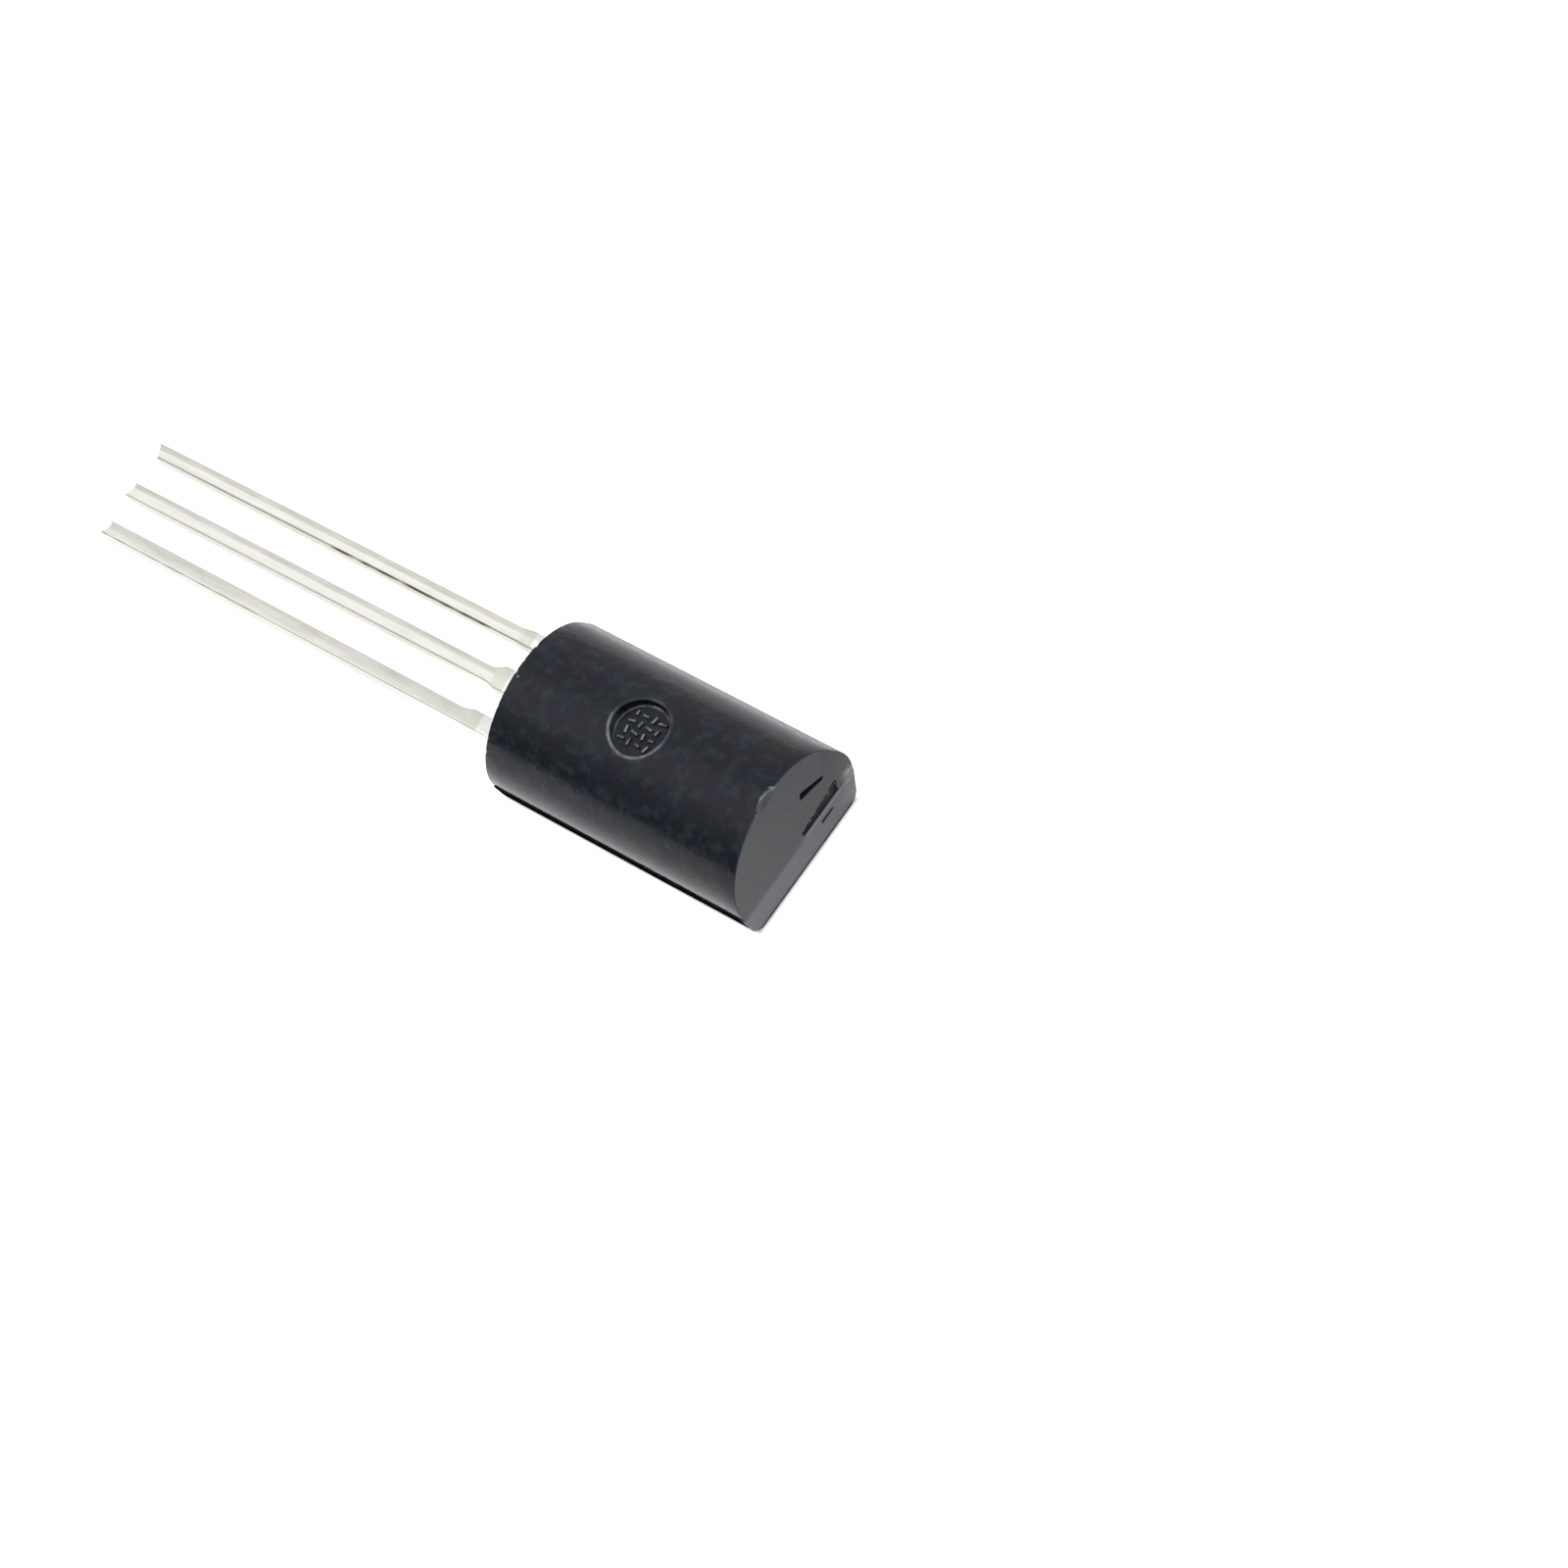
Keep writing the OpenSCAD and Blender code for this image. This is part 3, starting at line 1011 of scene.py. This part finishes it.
def edgeChips():
    # small flakes missing along the ends of the round back
    s = chipShape
    random.seed(s["seed"])
    bm = bmesh.new()
    for side, chips in ((-1, s["leadEnd"]), (1, s["farEnd"])):
        for degrees, size in chips:
            made = addLump(bm, size, *s["stretch"])
            turnVerts(bm, made, random.uniform(0, 3), "X")
            place, away = endEdge(side, degrees)
            place += away * size * s["out"] + Vector((side * size * s["out"], 0, 0))
            bmesh.ops.translate(bm, vec=place, verts=made)
    middle, radius = flakeBall()
    made = bmesh.ops.create_icosphere(bm, subdivisions=4, radius=radius)["verts"]
    bmesh.ops.translate(bm, vec=middle, verts=made)
    return makeObject(bm, "chip_cutter")


def buildCase(material):
    body = roundHalf()
    combine(body, flatHalf(), "UNION")
    print("case halves joined:", len(body.data.polygons), "faces")
    combine(body, ejectorMark(), "DIFFERENCE")
    combine(body, markBars(), "UNION")
    combine(body, scarCutter(), "DIFFERENCE")
    combine(body, slotCutter(*gateShape["nick"]), "DIFFERENCE")
    combine(body, slotCutter(*gateShape["dimple"]), "DIFFERENCE")
    for lead in leadLooks:
        low, high = boxInMm(lead)
        combine(body, pocketCutter((low.y + high.y) / 2), "DIFFERENCE")
    combine(body, frontBevel(), "DIFFERENCE")
    combine(body, edgeChips(), "DIFFERENCE")
    print("case cut:", len(body.data.polygons), "faces")
    body.name = "moulded_case"
    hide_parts("epoxy_case")
    return finishPiece(body, material)


crumbShape = {
    "seed": 3,
    "stretch": (0.6, 1.3),
    "scatter": 0.5,
    # spots of crumbs: middle, spread and how many, sizes from and to
    "spots": (
        ((3.94, 0.62, 1.3), (0.01, 0.06, 0.03), 3, 0.02, 0.035),
        ((3.97, 1.78, 1.48), (0.01, 0.05, 0.03), 3, 0.02, 0.035),
        ((-3.72, -0.4, 3.82), (0.03, 0.03, 0.008), 3, 0.02, 0.035),
    ),
    # along the end of the round back: from, to, how far it strays inwards, how many, sizes
    "scratch": (88, 107.0, 0.125, 56, 0.042, 0.055),
    "scratchBow": 0.7,
    "scratchIn": 0.01,
    "scratchDown": 0.045,
}


def buildCrumbs(material):
    # pale crumbs of resin where the runner was broken off, and a scuffed sliver at the
    # end of the round back
    s = crumbShape
    random.seed(s["seed"])
    bm = bmesh.new()

    def crumb(place, size):
        bmesh.ops.translate(bm, vec=place, verts=addLump(bm, size, *s["stretch"]))

    for middle, spread, count, small, large in s["spots"]:
        for i in range(count):
            aside = Vector([random.gauss(0, s["scatter"]) * way for way in spread])
            crumb(Vector(middle) + aside, random.uniform(small, large))
    start, end, stray, count, small, large = s["scratch"]
    inwards = s["scratchIn"]
    down = Vector((0, 0, s["scratchDown"]))
    for i in range(count):
        # a bow that thins out towards its end
        t = i / (count - 1)
        place, away = endEdge(1, start + (end - start) * t)
        bow = (4 * t * (1 - t)) ** s["scratchBow"]
        place.x -= inwards + stray * bow + random.uniform(-inwards, inwards)
        crumb(place - down, random.uniform(small, large) * (1 - t / 2))
    crumbs = makeObject(bm, "resin_crumbs")
    return finishPiece(crumbs, material)


leadShape = {
    "width": 0.42,
    "rootWidth": 0.5,
    "stubFrom": 0.7,
    "stubLength": 0.85,
    "stubEnd": 0.04,  # the stub narrows to the root over this length
    "flare": 0.45,
    "postFrom": 1.7,
    "postLength": 0.9,
    "postWidth": 0.9,
    "gap": 0.4,
    "paddleLength": 2.6,
    "paddleWidth": 2.4,
    "tabLength": 1.0,
    "tabWidth": 1.2,
    "tabHole": 0.5,
    "step": 0.002,  # half the length of a sudden change of width
    "intoCase": 0.05,
    "cuts": (40, 8, 4, 11),  # along the thin part, the flare and the stub, and across
    "roundSegments": 4,
    # bends and falls start this far out of the case, and how quickly
    "freeFrom": 0.03,
    "startsBy": 12,
    "bendLate": 1.5,
    # the darker line along the upper rounded edge on the -Y side: how much of the rounded edge it
    # takes, and how it breaks up
    "darkLinePart": 0.85,
    "darkLineGrain": (2.1, 7),
    "darkLineUneven": (0.4, 2),
}


def leadWidths(stubWidth, isCollector):
    # (x, width) down the lead from its tip, a pair of stations at each step
    s = leadShape
    tip = emitterBox[0].x
    case = -caseHalf
    stub = case - s["stubFrom"] - s["stubLength"]
    post = case + s["postFrom"]
    flareFrom = stub - s["flare"]
    thinCuts, flareCuts, stubCuts = s["cuts"][:3]
    stations = []
    for i in range(thinCuts + 1):
        stations.append((tip + (flareFrom - tip) * i / thinCuts, s["width"]))
    # the flare is an arc on each side
    rise = (stubWidth - s["width"]) / 2
    radius = (s["flare"] ** 2 + rise**2) / (2 * rise)
    for i in range(1, flareCuts + 1):
        run = s["flare"] * i / flareCuts
        stations.append((flareFrom + run, s["width"] + 2 * (radius - math.sqrt(radius**2 - run**2))))
    for i in range(1, stubCuts + 1):
        stations.append((stub + s["stubLength"] * i / stubCuts, stubWidth))
    for x in (stub + s["stubLength"] + s["stubEnd"], case - s["intoCase"], post - s["step"]):
        stations.append((x, s["rootWidth"]))
    if isCollector:
        paddle = post + s["postLength"] + s["gap"]
        tab = paddle + s["paddleLength"]
        stations += [
            (paddle - s["step"], s["rootWidth"]),
            (paddle + s["step"], s["paddleWidth"]),
            (tab - s["step"], s["paddleWidth"]),
            (tab + s["step"], s["tabWidth"]),
            (tab + s["tabLength"], s["tabWidth"]),
        ]
    else:
        stations += [(post + s["step"], s["postWidth"]), (post + s["postLength"], s["postWidth"])]
    return stations


leadLooks = {
    "emitter_lead": {
        "stub": (0.52, 0.045),  # width, shift
        "edgeRound": 0.045,
        # how far the top falls away towards -Y, from where, and how gently it starts
        "drop": (0.02, 0.3, 0.3),
        "slant": 0.05,
        "hollow": 0.1,
        "longer": 0.03,
        "bend": (0.0, -0.04),  # at the case, at the tip
        "burr": (-18.3, -12.5, 0.45),  # from, to, how dark
    },
    "collector_lead": {
        "stub": (0.67, 0.06),
        "edgeRound": 0.03,
        "drop": (0.14, 0.35, 0.5),
        "slant": 0.06,
        "hollow": 0.1,
        "longer": 0.2,
        "bend": (0.055, -0.055),
        "burr": (-18.6, -6, 0.1),
    },
    "base_lead": {
        "stub": (0.49, 0.03),
        "edgeRound": 0.06,
        "drop": (0.085, 0.15, 0.12),
        "slant": -0.08,
        "hollow": 0.05,
        "longer": 0.26,
        "bend": (0.1, 0.0),
        "burr": (-12.4, -6.9, 0.95),
    },
}


def leadBar(stations, width, thick, edgeRound):
    # a rounded bar, cut across at every station
    bm = bmesh.new()
    tip, end = stations[0][0], stations[-1][0]
    section = addCube(bm, (end - tip, width, thick))
    bmesh.ops.translate(bm, vec=(tip + (end - tip) / 2, 0, 0), verts=section)
    longEdges = [e for e in bm.edges if abs(e.verts[0].co.x - e.verts[1].co.x) > 1]
    roundEdges(bm, longEdges, edgeRound, leadShape["roundSegments"])
    crossEdges = [
        e
        for e in bm.edges
        if abs(e.verts[0].co.y - e.verts[1].co.y) > width / 4
        and abs(e.verts[0].co.x - e.verts[1].co.x) < closeBy
    ]
    bmesh.ops.subdivide_edges(bm, edges=crossEdges, cuts=leadShape["cuts"][3])
    for x, wide in stations[1:-1]:
        cutThrough(bm, (x, 0, 0), (1, 0, 0))
    return bm


def buildLead(node, material):
    s = {**leadShape, **leadLooks[node]}
    low, high = boxInMm(node)
    y = (low.y + high.y) / 2
    z = (low.z + high.z) / 2
    thick = high.z - low.z
    stubWidth, stubShift = s["stub"]
    stations = leadWidths(stubWidth, node == "collector_lead")
    tip = stations[0][0]
    bm = leadBar(stations, s["width"], thick, s["edgeRound"])
    widths = {round(x, 4): width for x, width in stations}
    burr = bm.verts.layers.float.new("burr")
    darkLineFrom, darkLineTo, darkLineStrength = s["burr"]
    grainX, grainY = s["darkLineGrain"]
    burrLevel, burrSteep = s["darkLineUneven"]
    fall, fallFrom, fallEase = s["drop"]
    atCase, atTip = s["bend"]
    inset = s["edgeRound"] * s["darkLinePart"]
    bentFrom = -caseHalf - s["freeFrom"]
    for v in bm.verts:
        x = v.co.x
        width = widths[min(widths, key=lambda other: abs(other - x))]
        across = v.co.y / (s["width"] / 2)
        rounding = v.co.y < inset - s["width"] / 2 and v.co.z > thick / 2 - inset
        if rounding and darkLineFrom < x < darkLineTo:
            uneven = noise.noise(Vector((x * grainX, y * grainY, 0))) + burrLevel
            v[burr] = darkLineStrength * clamped(uneven * burrSteep)
        v.co.y *= width / s["width"]
        if x > bentFrom:
            continue
        if x <= bentFrom - s["stubFrom"]:
            wider = (width - s["width"]) / (stubWidth - s["width"])
            v.co.y += stubShift * wider
        out = (bentFrom - x) / (bentFrom - tip)
        started = min(1, out * s["startsBy"])
        if v.co.z > 0:
            beyond = max(0, fallFrom - across) / (1 + fallFrom)
            eased = beyond - fallEase * (1 - math.exp(-beyond / fallEase))
            v.co.z -= started * fall * eased
        v.co.y += started * atCase + (atTip - atCase) * out ** s["bendLate"]
        v.co.x -= s["longer"] * out
        if x < tip + closeBy:
            v.co.x += s["hollow"] * (1 - across * across) + s["slant"] * across
    bmesh.ops.translate(bm, vec=(0, y, z), verts=bm.verts)
    lead = makeObject(bm, node.replace("_lead", "_pin"))
    if node == "collector_lead":
        hole = bmesh.new()
        radius = s["tabHole"] / 2
        bmesh.ops.create_cone(
            hole, cap_ends=True, segments=32, radius1=radius, radius2=radius, depth=1
        )
        bmesh.ops.translate(hole, vec=(high.x - s["tabLength"] / 2, y, z), verts=hole.verts)
        combine(lead, makeObject(hole, "hole_cutter"), "DIFFERENCE")
    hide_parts(node)
    return finishPiece(lead, material)


floorLight = {
    "half": 3.0,
    "mottle": 25,  # mm
    "tones": (0.93, 0.95),
    # half of the object's foot across, and how far the painted contact shadow round it reaches
    "footHalf": 2.12,
    "contact": (-0.03, 0.14),
    # what the floor gives off and what of that is mirrored: from, to, and the values
    "lift": (0.3, 6, 0.9, 0.3),
    "mirrored": (-2, 4, 0.76, 0.24),
}


def buildFloor():
    s = floorLight
    bm = bmesh.new()
    bmesh.ops.create_grid(bm, x_segments=1, y_segments=1, size=s["half"])
    floor = makeObject(bm, "floor")
    material, tree = newMaterial("white_sweep_with_painted_glow")
    place = placeOf(tree)
    stops = list(zip((noiseLow, noiseHigh), (grey(tone) for tone in s["tones"])))
    colour = ramped(tree, noiseOf(tree, place, s["mottle"]), stops)
    paper = addNode(tree, "ShaderNodeBsdfDiffuse", inputs={"Color": colour})
    ray = addNode(tree, "ShaderNodeLightPath")
    mirrored = larger(tree, (ray, "Is Glossy Ray"), (ray, "Is Transmission Ray"))
    # painted light and shadow in the glow: none of it under the case, a painted contact shadow; more
    # of it near the object than far away, and less of it mirrored on the +Y side
    x, y = axesOf(tree, place)[:2]
    beyond = []
    for axis, half in ((x, caseHalf), (y, s["footHalf"])):
        beyond.append(maths(tree, "SUBTRACT", maths(tree, "ABSOLUTE", axis), half * mm))
    away = larger(tree, *beyond)
    contact = faded(tree, away, *s["contact"])
    level = faded(tree, away, *s["lift"])
    share = faded(tree, y, *s["mirrored"])
    seen = maths(tree, "MULTIPLY_ADD", mirrored, share, (ray, "Is Camera Ray"))
    lift = times(tree, seen, contact, level)
    glow = addNode(tree, "ShaderNodeEmission", inputs={"Color": grey(1.0), "Strength": lift})
    both = addNode(tree, "ShaderNodeAddShader", inputs={0: (paper, 0), 1: (glow, 0)})
    closeMaterial(tree, both)
    floor.data.materials.append(material)


skyLight = {
    # from, to and the values there, along the direction looked in
    "dome": (-0.3, 0.7, 0.1, 0.73),
    "domeTilt": 0.3,
    "stripIn": (-0.65, -0.35, 0, 0.36),
    "stripOut": (0.0, 0.25, 1, 0),
    "brightSide": (-0.05, 0.5, 0, 0.6),
    "overhead": (0.2, 0.7, 0, 1),
}


def buildSky():
    # a studio dome: dim low on the -Y side, soft overhead with a brighter strip,
    # and brightest towards +X
    s = skyLight
    world = bpy.data.worlds.new("studio")
    bpy.context.scene.world = world
    world.use_nodes = True
    tree = world.node_tree
    tree.nodes.clear()
    x, y, z = axesOf(tree, placeOf(tree, "Generated"))
    dome = mapped(tree, maths(tree, "MULTIPLY_ADD", y, s["domeTilt"], z), *s["dome"])
    stripIn = mapped(tree, y, *s["stripIn"])
    stripOut = mapped(tree, y, *s["stripOut"])
    level = maths(tree, "MULTIPLY_ADD", stripIn, stripOut, dome)
    side = mapped(tree, x, *s["brightSide"])
    upper = mapped(tree, z, *s["overhead"])
    level = maths(tree, "MULTIPLY_ADD", side, upper, level)
    sky = addNode(tree, "ShaderNodeBackground", inputs={"Color": grey(1.0), "Strength": level})
    addNode(tree, "ShaderNodeOutputWorld", inputs={"Surface": (sky, 0)})


cameraPlace = {
    "at": (50.936, -29.595, 93.134),
    "right": (0.7937, 0.5643, -0.2273),
    "up": (-0.4145, 0.7751, 0.4769),
    "lens": 100.23,
    "sensor": 36.0,
    "clip": (0.005, 20.0),
}


def buildCamera():
    s = cameraPlace
    data = bpy.data.cameras.new("camera")
    data.lens = s["lens"]
    data.sensor_width = s["sensor"]
    data.clip_start, data.clip_end = s["clip"]
    camera = bpy.data.objects.new("camera", data)
    right = Vector(s["right"]).normalized()
    up = Vector(s["up"]).normalized()
    back = right.cross(up).normalized()
    up = back.cross(right).normalized()
    turn = Matrix((right, up, back)).transposed().to_4x4()
    camera.matrix_world = Matrix.Translation(Vector(s["at"]) * mm) @ turn
    bpy.context.scene.collection.objects.link(camera)
    bpy.context.scene.camera = camera


buildFloor()
buildSky()
buildCamera()
print("stage set")

epoxy = mouldedEpoxy()
tin = tinPlatedCopper()
buildCase(epoxy)
buildCrumbs(brokenResin())
for node in leadLooks:
    buildLead(node, tin)
print("leads made")

for node, (name, slot, dark, light, roughness, metallic, grain) in innerFinishes.items():
    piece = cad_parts[node]
    piece.data.materials.clear()
    piece.data.materials.append(innerMetal(name, dark, light, roughness, metallic, grain))
print("inner pieces coloured")

bpy.context.scene.view_settings.view_transform = "Standard"
